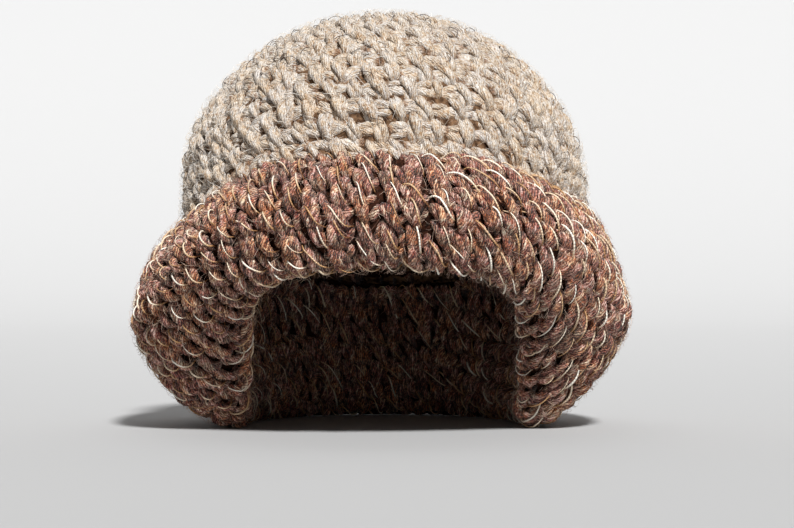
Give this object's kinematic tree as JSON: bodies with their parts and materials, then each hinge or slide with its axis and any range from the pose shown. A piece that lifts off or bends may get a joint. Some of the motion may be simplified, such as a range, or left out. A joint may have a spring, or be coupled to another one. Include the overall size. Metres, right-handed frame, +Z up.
{
  "type": "knit brimmed hat",
  "caption": "Chunky hand-worked hat: a rounded beige crown and a fat rolled brown brim, raised over the forehead and low over the ears and nape.",
  "frame": {"origin": "on the floor, under the middle of the hat as it stands on its brim", "axes": "+Z up through the crown, -Y out of the face side, +X to the left ear of the wearer"},
  "size_m": [0.2264, 0.2588, 0.1875],
  "materials": {
    "beige_yarn": "matte chunky yarn, loosely twisted, with light fuzz",
    "brown_yarn": "matte heather yarn with a fine golden lustre thread worked in"
  },
  "bodies": {
    "root": {"crown": "beige_yarn", "brim": "brown_yarn"}
  },
  "joints": []
}
